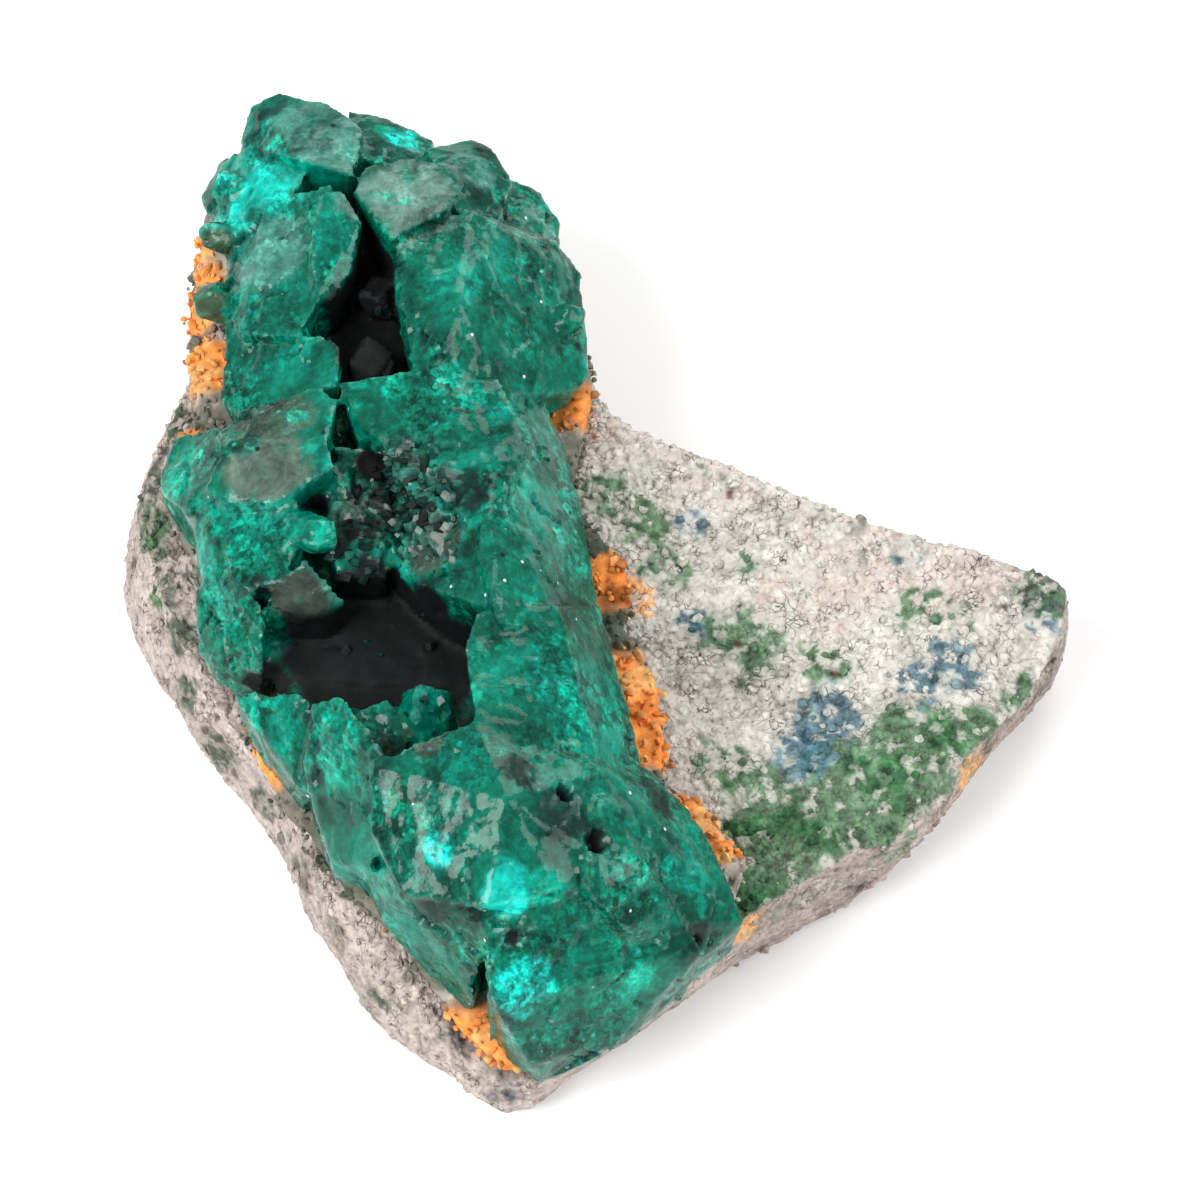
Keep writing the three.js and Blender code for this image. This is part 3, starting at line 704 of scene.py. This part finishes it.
def dioptase_material():
    """Cloudy emerald crystal: clear below the surface, with veils, streaks, flakes, painted sparkle
    highlights, and the painted edge sheen that the tint carries.
    """
    material, nodes, links, shader = new_material("dioptase")
    tint = tint_of(nodes)
    cloud = texture(
        nodes, links, "ShaderNodeTexNoise", CLOUD_SCALE, Detail=5.0, Roughness=0.72, Distortion=0.5
    )
    veil = texture(nodes, links, "ShaderNodeTexNoise", VEIL_SCALE, Detail=3.0, Roughness=0.7)
    fleck = texture(nodes, links, "ShaderNodeTexNoise", FLECK_SCALE, Detail=2.0, Roughness=0.7)
    streak = stretched(nodes, links, (0.0005, 0.0024, 0.0009), RIDGE_TURN, Detail=3.0, Roughness=0.6)
    cluster = texture(nodes, links, "ShaderNodeTexNoise", CLUSTER_SCALE, Detail=2.0)
    level = nodes.new("ShaderNodeRGBToBW")
    links.new(tint, level.inputs["Color"])
    bright = span(nodes, links, level.outputs["Val"], 0.01, 0.09)
    channels = nodes.new("ShaderNodeSeparateColor")
    links.new(tint, channels.inputs["Color"])
    green = span(nodes, links, channels.outputs["Red"], 0.02, 0.10, 1.0, 0.35)
    busy = span(nodes, links, cluster.outputs["Fac"], 0.42, 0.60, 0.3, 1.0)
    amount = combined(nodes, links, "MULTIPLY", green, busy)
    shade = span(nodes, links, cloud.outputs["Fac"], 0.32, 0.68, 0.28, 1.6)
    colour = mixed(nodes, links, 1.0, tint, shade, "MULTIPLY")
    fibre = span(nodes, links, streak.outputs["Fac"], 0.35, 0.65, 0.62, 1.35)
    grain = span(nodes, links, fleck.outputs["Fac"], 0.35, 0.65, 0.5, 1.45)
    mosaic = texture(nodes, links, "ShaderNodeTexVoronoi", MOSAIC_SCALE)
    links.new(warped(nodes, links, 1900, 0.0005), mosaic.inputs["Vector"])
    parts = nodes.new("ShaderNodeSeparateColor")
    links.new(mosaic.outputs["Color"], parts.inputs["Color"])
    face = span(nodes, links, parts.outputs["Red"], 0.0, 1.0, 0.4, 1.55)
    broken = mixed(nodes, links, 1.0, combined(nodes, links, "MULTIPLY", fibre, grain), face, "MULTIPLY")
    colour = mixed(nodes, links, amount, colour, mixed(nodes, links, 1.0, colour, broken, "MULTIPLY"))
    lit = span(nodes, links, veil.outputs["Fac"], 0.58, 0.76, 0.0, 0.35)
    lit = combined(nodes, links, "MULTIPLY", bright, lit)
    colour = mixed(nodes, links, lit, colour, VEIL)
    flaky = span(nodes, links, cluster.outputs["Fac"], 0.5, 0.62, 0.0, 0.75)
    flaky = combined(nodes, links, "MULTIPLY", bright, flaky)
    flake = combined(nodes, links, "MULTIPLY", flaky, specks(nodes, links, FLAKE_SCALE, 0.86, 0.18, 0.36))
    colour = mixed(nodes, links, flake, colour, FLAKE)
    # Painted highlights: tiny white sparkles on the brighter green
    painted_sparkle = combined(nodes, links, "MULTIPLY", bright, specks(nodes, links, SPARKLE_HIGHLIGHT_SCALE, 0.90, 0.07, 0.12))
    colour = mixed(nodes, links, painted_sparkle, colour, SPARKLE_HIGHLIGHT)
    colour = mixed(nodes, links, specks(nodes, links, SPOT_SCALE, 0.95, 0.10, 0.18), colour, DEEP)
    links.new(colour, shader.inputs["Base Color"])
    polish = span(nodes, links, veil.outputs["Fac"], 0.3, 0.75, 0.05, 0.20)
    dull = span(nodes, links, level.outputs["Val"], 0.008, 0.05, 0.7, 0.0)
    links.new(combined(nodes, links, "MAXIMUM", polish, dull), shader.inputs["Roughness"])
    shader.inputs["IOR"].default_value = DIOPTASE_IOR
    shader.inputs["Specular IOR Level"].default_value = DIOPTASE_SPECULAR
    shader.inputs["Transmission Weight"].default_value = DIOPTASE_TRANSMISSION
    bumped(nodes, links, shader, veil.outputs["Fac"], 0.2, 0.0001)
    absorb = nodes.new("ShaderNodeVolumeAbsorption")
    absorb.inputs["Color"].default_value = ABSORPTION_COLOUR
    absorb.inputs["Density"].default_value = ABSORPTION_DENSITY
    links.new(absorb.outputs["Volume"], nodes["Material Output"].inputs["Volume"])
    return material


def rock_material():
    """Sugary pale rock: domed grains of mottled colour with painted shade towards each grain's edge, and
    dark gaps between some of them.
    """
    material, nodes, links, shader = new_material("matrix")
    mottle = texture(nodes, links, "ShaderNodeTexNoise", ROCK_MOTTLE_SCALE, Detail=3.0, Roughness=0.65)
    speck = texture(nodes, links, "ShaderNodeTexNoise", ROCK_SPECK_SCALE, Detail=2.0)
    groups = texture(nodes, links, "ShaderNodeTexNoise", ROCK_GROUP_SCALE, Detail=4.0, Roughness=0.7)
    uneven = warped(nodes, links, 1300, 0.0008)
    grain = texture(nodes, links, "ShaderNodeTexVoronoi", ROCK_GRAIN_SCALE)
    gap = texture(nodes, links, "ShaderNodeTexVoronoi", ROCK_GRAIN_SCALE)
    gap.feature = "DISTANCE_TO_EDGE"
    for cells in (grain, gap):
        links.new(uneven, cells.inputs["Vector"])
    tint = tint_of(nodes)
    level = nodes.new("ShaderNodeRGBToBW")
    links.new(tint, level.inputs["Color"])
    pale = span(nodes, links, level.outputs["Val"], 0.15, 0.45)
    soft = span(nodes, links, mottle.outputs["Fac"], 0.3, 0.7, 0.86, 1.12)
    strong = span(nodes, links, mottle.outputs["Fac"], 0.3, 0.7, 0.25, 1.6)
    colour = mixed(nodes, links, 1.0, tint, mixed(nodes, links, pale, strong, soft), "MULTIPLY")
    # Painted shade: each grain lighter at its middle and darker towards its edge, as a rounded grain is lit
    grain_shade = span(nodes, links, grain.outputs["Distance"], 0.25, 0.75, 1.05, 0.84)
    colour = mixed(nodes, links, 1.0, colour, grain_shade, "MULTIPLY")
    line = span(nodes, links, gap.outputs["Distance"], 0.075, 0.015)
    cracked = span(nodes, links, groups.outputs["Fac"], 0.49, 0.62, 0.0, 0.95)
    colour = mixed(nodes, links, combined(nodes, links, "MULTIPLY", line, cracked), colour, CREVICE)
    dark = span(nodes, links, speck.outputs["Fac"], 0.63, 0.72, 0.0, 0.6)
    colour = mixed(nodes, links, dark, colour, CREVICE)
    links.new(colour, shader.inputs["Base Color"])
    links.new(span(nodes, links, mottle.outputs["Fac"], 0.3, 0.7, 0.95, 0.7), shader.inputs["Roughness"])
    shader.inputs["Specular IOR Level"].default_value = 0.3
    height = span(nodes, links, grain.outputs["Distance"], 0.0, 0.8, 1.0, 0.0)
    bumped(nodes, links, shader, height, 0.7, 0.0002)
    return material


def limonite_material():
    """Earthy orange crust."""
    material, nodes, links, shader = new_material("limonite")
    mottle = texture(nodes, links, "ShaderNodeTexNoise", CRUST_MOTTLE_SCALE, Detail=4.0, Roughness=0.65)
    shade = span(nodes, links, mottle.outputs["Fac"], 0.3, 0.7, 0.55, 1.25)
    links.new(mixed(nodes, links, 1.0, tint_of(nodes), shade, "MULTIPLY"), shader.inputs["Base Color"])
    links.new(span(nodes, links, mottle.outputs["Fac"], 0.3, 0.7, 0.98, 0.8), shader.inputs["Roughness"])
    shader.inputs["Specular IOR Level"].default_value = 0.2
    bumped(nodes, links, shader, mottle.outputs["Fac"], 0.6, 0.00015)
    return material


# Pieces

def on_face(points, normals, middle):
    """1 where the surface faces as it does at the point nearest to the middle, else 0."""
    nearest = np.argmin(np.linalg.norm(points - np.asarray(middle), axis=1))
    return smoothstep(normals @ normals[nearest], 0.80, 0.93)


def standing_out(points, normals, quads, rounds):
    """How far each point stands out from its neighbours in millimetres, evened out over some rounds."""
    start = quads.ravel()
    end = np.roll(quads, -1, axis=1).ravel()
    count = np.maximum(np.bincount(start, minlength=len(points)), 1)

    def around(values):
        return np.bincount(start, values[end], minlength=len(points)) / count

    middle = np.stack([around(points[:, axis]) for axis in range(3)], axis=1)
    out = np.sum((points - middle) * normals, axis=1)
    for _ in range(rounds):
        out = 0.5 * out + 0.5 * around(out)
    return out


def crystal_colours(points, normals):
    """The crystals' colour at each point, before the shader's clouds."""
    wide = fractal(points, 5.0, 1)
    close = fractal(points, 1.6, 5)
    fine = fractal(points, 0.6, 12)
    colours = np.tile(EMERALD, (len(points), 1))
    colours = blend(colours, TEAL, smoothstep(wide + 0.5 * close, -0.1, 0.5))
    colours = blend(colours, DEEP, 0.7 * smoothstep(-wide + 0.6 * close, 0.2, 0.7))
    # The sea grey, pale grey, lens grey and frost patches are painted sheen, light reflected off flat faces
    for salt, (colour, middle, radius, flat) in enumerate(CRYSTAL_PATCHES):
        inside = patch(points, middle, radius, 0.35, 40 + salt)
        if flat:
            inside *= on_face(points, normals, middle)
        colours = blend(colours, colour, 0.9 * inside * smoothstep(close + 0.7 * fine, -0.8, -0.1))
    key, _, edge = cellular(points, 0.9, 8)
    glint = (hashed(key, 3) > 0.96) & (edge > 0.1)
    colours = blend(colours, LEAF, 0.6 * glint)
    return colours


def hollow_shade(points):
    """1 where black shade is painted in the hollows and pits, and 0 on the open faces."""
    shade = np.zeros(len(points))
    ragged = fractal(points, 1.4, 84)
    for middle, half, level in HOLLOWS:
        away = np.linalg.norm((points[:, :2] - np.array(middle)) / np.array(half), axis=1)
        inside = 1 - smoothstep(away + 0.12 * ragged, 0.88, 1.04)
        below = 1 - smoothstep(points[:, 2] + 0.5 * ragged, level - 0.5, level + 0.3)
        shade = np.maximum(shade, 0.98 * inside * below)
    for salt, (middle, radius) in enumerate(HOLLOW_DARK):
        shade = np.maximum(shade, 0.98 * patch(points, middle, radius, 0.3, 90 + salt))
    for salt, (middle, radius, _) in enumerate(PITS):
        shade = np.maximum(shade, 0.95 * patch(points, middle, 1.1 * radius, 0.25, 120 + salt))
    return shade


def crystal_relief(points):
    """How far the broken small faces and pits move the crystals' surface, in millimetres."""
    strength = 0.40 + 0.3 * noise(points, 6.0, 20)
    for salt, (middle, radius, level) in enumerate(RELIEF_ZONES):
        share = patch(points, middle, 1.2 * radius, 0.2, 140 + salt)
        strength += (level - strength) * share
    relief = facets(points, 2.1, 0.14, 0.12, 21)
    relief += facets(points, 0.85, 0.16, 0.06, 22)
    relief += 0.12 * fractal(points, 1.1, 24)
    relief *= np.maximum(strength, 0.15)
    for middle, radius, depth in PITS:
        distance = np.linalg.norm(points - np.array(middle), axis=1) / radius
        relief -= depth * (1 - smoothstep(distance, 0.35, 1.1))
    return relief


def make_crystals(material):
    points, normals, quads = remeshed("dioptase_crystals", CRYSTAL_VOXEL)
    moved = points + normals * crystal_relief(points)[:, None]
    out = standing_out(moved, normals, quads, 1)
    # Painted sheen: points that stand out from their neighbours are made paler green-grey, as if catching
    # the light
    edge_sheen_share = 0.5 + 0.5 * fractal(points, 1.2, 27)
    colours = crystal_colours(points, normals)
    colours = blend(colours, EDGE_SHEEN, 0.55 * edge_sheen_share * smoothstep(out, 0.012, 0.045))
    # Painted shade: points sunk below their neighbours are darkened towards deep green
    colours = blend(colours, DEEP, 0.75 * smoothstep(-out, 0.010, 0.040))
    # Painted shade: the hollows and pits are darkened to black
    colours = blend(colours, BLACK, hollow_shade(points))
    piece = new_piece("dioptase_ridge", moved, quads, colours, sharp=24)
    piece.data.materials.append(material)
    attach(piece, "root")
    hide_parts("dioptase_crystals")

    rng = np.random.default_rng(DRUSE_SEED)
    chance = np.zeros(len(points))
    for middle, radius, density in DRUSE_ZONES:
        chance = np.maximum(chance, density * patch(points, middle, radius, 0.3, 160))
    sites = np.flatnonzero(rng.uniform(size=len(points)) < chance * (normals[:, 2] > -0.2))
    sizes = rng.uniform(*DRUSE_RADIUS, size=(len(sites), 1)) * np.array([[1.0, 1.0, 1.3]])
    places = moved[sites] - 0.02 * normals[sites]
    solid = scattered(small_crystal(), places, upright(rng, normals[sites], 0.5), sizes, 0.0, rng)
    pick = rng.uniform(size=len(sites))
    colours = blend(crystal_colours(places, normals[sites]), BLACK, 0.8 * (pick < 0.4))
    # Painted sheen and painted glints on some small crystals, and painted shade on those in the hollows
    colours = blend(colours, SEA_GREY_SHEEN, 0.5 * (pick > 0.62))
    colours = blend(colours, GLINT, 0.9 * (pick > 0.8))
    colours = blend(colours, BLACK, 0.9 * hollow_shade(places) * (pick < 0.9))
    corners = len(small_crystal()[0])
    druse = new_piece("dioptase_druse", *solid, np.repeat(colours, corners, axis=0), sharp=15)
    druse.data.materials.append(material)
    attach(druse, "root")


def rock_colours(points, normals, salt, pick):
    """The rock's colour for each grain: pick is a value in 0 to 1 that sorts grains into a patch."""
    wide = fractal(points, 4.0, salt)
    close = fractal(points, 1.3, salt + 5)
    fine = fractal(points, 0.5, salt + 9)
    top = smoothstep(normals[:, 2], 0.05, 0.42)
    behind = smoothstep(RIDGE_LEAN * (RIDGE_END[1] - points[:, 1]) + RIDGE_END[0] - points[:, 0], -1.0, 1.5)
    pale = top * (1 - behind)
    colours = blend(np.tile(FLESH, (len(points), 1)), CREAM, pale * (0.85 + 0.15 * (pick > 0.25)))
    colours = blend(colours, PINKISH, np.maximum(0.6 * smoothstep(wide, 0.0, 0.5), 0.7 * behind))
    colours = blend(colours, GREIGE, (1 - pale) * smoothstep(0.8 * close - wide, 0.1, 0.6) * 0.5)
    colours *= (1 + 0.16 * close + 0.12 * fine + 0.24 * (pick - 0.5))[:, None]
    colours = blend(colours, CREVICE, (1 - pale) * smoothstep(close + 0.7 * fine, 0.45, 0.75) * 0.7)
    colours = blend(colours, SLATE_GREEN, behind * smoothstep(wide + 0.6 * fine, 0.35, 0.6) * 0.7)
    for number, (colour, edge_colour, middle, radius, share) in enumerate(ROCK_PATCHES):
        inside = patch(points, middle, 1.2 * radius, 0.6, salt + 30 + number)
        chosen = inside * np.where(pick < share * (0.35 + 0.65 * inside), 1.0, 0.45 * share) * top
        shade = np.tile(edge_colour, (len(points), 1))
        shade = blend(shade, colour, smoothstep(close + fine + inside, 0.2, 1.0))
        shade = blend(shade, SLATE_GREEN, 0.6 * smoothstep(fine - 0.4 * close, 0.2, 0.5) * (share > 0.6))
        colours = blend(colours, shade, 0.85 * chosen)
    for number, (colour, middle, radius) in enumerate(WALL_STAINS):
        inside = patch(points, middle, radius, 0.6, salt + 80 + number)
        colours = blend(colours, colour, inside * (0.35 + 0.5 * (pick > 0.4)))
    return np.maximum(colours, 0)


def make_rock(material, crystal_tree, seam_tree):
    points, normals, quads = remeshed("matrix_rock", ROCK_VOXEL)
    hidden = (normals[:, 2] < -0.7) | covered(points, normals, [crystal_tree, seam_tree])
    points, normals, triangles = thinned(points, quads, hidden, ROCK_HIDDEN_SHARE)
    above = smoothstep(points[:, 2], 0.2, 1.2)
    key, _, edge = cellular(points, GRAIN_SIZE, 201)
    wall = 1 - smoothstep(normals[:, 2], 0.15, 0.6)
    groups = smoothstep(fractal(points, 3.0, 203), -0.15, 0.35)
    grain = facets(points, GRAIN_SIZE, 0.32, 0.14, 201) * (1 - 0.5 * wall)
    relief = 0.16 * fractal(points, 2.2, 205) + grain
    crack = (1 - smoothstep(edge, 0.02, 0.10)) * groups
    moved = points + normals * ((relief - 0.08 * crack) * above)[:, None]
    moved[:, 2] = np.maximum(moved[:, 2], 0)
    colours = rock_colours(points, normals, 300, hashed(key, 9))
    colours = blend(colours, CREVICE, 0.3 * crack)
    base = new_piece("matrix_base", moved, triangles, colours, sharp=35)
    base.data.materials.append(material)
    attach(base, "root")
    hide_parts("matrix_rock")

    rng = np.random.default_rng(LOOSE_SEED)
    sites, facing, _ = remeshed("matrix_rock", LOOSE_SPACING)
    shown = (sites[:, 2] > 0.6) & (facing[:, 2] > -0.6)
    sites, facing = sites[shown], facing[shown]
    sites = sites + rng.uniform(-0.3, 0.3, size=sites.shape) * (1 - np.abs(facing))
    wall = 1 - smoothstep(facing[:, 2], 0.15, 0.6)
    keep = rng.uniform(size=len(sites)) > 0.6 + 0.36 * wall
    keep &= ~covered(sites, facing, [crystal_tree, seam_tree])
    sites, facing = sites[keep], facing[keep]
    radius = rng.uniform(*LOOSE_RADIUS, size=len(sites))
    scales = radius[:, None] * rng.uniform(0.7, 1.3, size=(len(sites), 3))
    places = sites + facing * (0.02 - 0.3 * radius)[:, None]
    solid = scattered(icosahedron(), places, turns(rng, len(sites)), scales, 0.2, rng)
    colours = rock_colours(places, facing, 300, rng.uniform(size=len(sites)))
    grains = new_piece("matrix_grains", *solid, np.repeat(colours, 12, axis=0), sharp=30)
    grains.data.materials.append(material)
    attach(grains, "root")


def seam_colours(points):
    """Orange where the rusty crust shows, and rock-coloured dust elsewhere."""
    close = fractal(points, 1.1, 238)
    wide = fractal(points, 4.0, 239)
    rust = blend(np.tile(ORANGE, (len(points), 1)), OCHRE, smoothstep(close, 0.0, 0.45))
    rust = blend(rust, BROWN, smoothstep(-close, 0.2, 0.55))
    dust = blend(np.tile(GREIGE, (len(points), 1)), PINKISH, smoothstep(close, 0.0, 0.4))
    dust = blend(dust, SLATE_GREEN, 0.8 * smoothstep(wide + 0.5 * close, 0.05, 0.4))
    return blend(dust, rust, seam_shown(points))


def seam_shown(points):
    """1 where the seam is orange: the places seen in front, and scattered places behind."""
    shown = smoothstep(fractal(points, 5.0, 241), 0.25, 0.4) * (points[:, 1] > 12) * (points[:, 0] > -12)
    for salt, (middle, radius) in enumerate(SEAM_SHOWN):
        shown = np.maximum(shown, patch(points, middle, 1.15 * radius, 0.35, 250 + salt))
    return shown


def make_seam(material, crystal_tree):
    points, normals, quads = remeshed("limonite_seam", SEAM_VOXEL)
    relief = 0.22 + 0.22 * fractal(points, 0.9, 230) + 0.10 * facets(points, 0.5, 0.3, 0.3, 235)
    moved = points + normals * relief[:, None]
    crust = new_piece("limonite_crust", moved, quads, seam_colours(points))
    crust.data.materials.append(material)
    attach(crust, "root")
    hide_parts("limonite_seam")

    rng = np.random.default_rng(CRUMB_SEED)
    sites, facing, _ = remeshed("limonite_seam", CRUMB_SPACING)
    keep = ~covered(sites, facing, [crystal_tree], reach=0.7, lift=0.3) & (facing[:, 2] > -0.5)
    keep &= rng.uniform(size=len(sites)) < 0.7
    sites, facing = sites[keep] + 0.2 * rng.normal(size=(int(keep.sum()), 3)), facing[keep]
    scales = rng.uniform(*CRUMB_RADIUS, size=(len(sites), 1)) * rng.uniform(0.7, 1.3, size=(len(sites), 3))
    solid = scattered(icosahedron(), sites + 0.24 * facing, turns(rng, len(sites)), scales, 0.25, rng)
    pick = rng.uniform(size=len(sites))
    colours = seam_colours(sites)
    colours = blend(colours, OCHRE, 0.6 * (pick > 0.7) * seam_shown(sites))
    colours *= (0.75 + 0.5 * rng.uniform(size=len(sites)))[:, None]
    crumbs = new_piece("limonite_crumbs", *solid, np.repeat(colours, 12, axis=0), sharp=50)
    crumbs.data.materials.append(material)
    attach(crumbs, "root")


# Studio

def make_floor():
    half = 0.6
    mesh = bpy.data.meshes.new("floor")
    corners = [(-half, -half, 0), (half, -half, 0), (half, half, 0), (-half, half, 0)]
    mesh.from_pydata(corners, [], [(0, 1, 2, 3)])
    floor = bpy.data.objects.new("floor", mesh)
    bpy.context.scene.collection.objects.link(floor)
    material, _, _, shader = new_material("floor")
    shader.inputs["Base Color"].default_value = (0.92, 0.92, 0.92, 1)
    shader.inputs["Roughness"].default_value = 0.9
    shader.inputs["Specular IOR Level"].default_value = 0.1
    mesh.materials.append(material)


def add_softbox(name, place, size, power):
    data = bpy.data.lights.new(name, "AREA")
    data.shape = "DISK"
    data.size = size
    data.energy = power
    lamp = bpy.data.objects.new(name, data)
    lamp.location = place
    lamp.rotation_euler = (Vector(VIEW_TARGET * MM) - lamp.location).to_track_quat("-Z", "Y").to_euler()
    bpy.context.scene.collection.objects.link(lamp)


def light_scene():
    world = bpy.data.worlds.new("studio")
    world.use_nodes = True
    world.node_tree.nodes["Background"].inputs["Color"].default_value = (1, 1, 1, 1)
    world.node_tree.nodes["Background"].inputs["Strength"].default_value = WORLD_LIGHT
    bpy.context.scene.world = world
    for lamp in LAMPS:
        add_softbox(*lamp)


def make_camera():
    data = bpy.data.cameras.new("camera")
    data.sensor_width = SENSOR_WIDTH
    data.lens = SENSOR_WIDTH * VIEW_DISTANCE / VIEW_WIDTH
    data.clip_start = 0.01
    camera = bpy.data.objects.new("camera", data)
    back = np.array([0, -math.cos(VIEW_ELEVATION), math.sin(VIEW_ELEVATION)])
    camera.location = (VIEW_TARGET + VIEW_DISTANCE * back) * MM
    camera.rotation_euler = (math.pi / 2 - VIEW_ELEVATION, 0, 0)
    bpy.context.scene.collection.objects.link(camera)
    bpy.context.scene.camera = camera


def build():
    make_camera()
    make_floor()
    light_scene()
    scene = bpy.context.scene
    scene.view_settings.view_transform = "Standard"
    crystal_tree = tree_of("dioptase_crystals")
    seam_tree = tree_of("limonite_seam")
    make_crystals(dioptase_material())
    make_rock(rock_material(), crystal_tree, seam_tree)
    make_seam(limonite_material(), crystal_tree)


build()
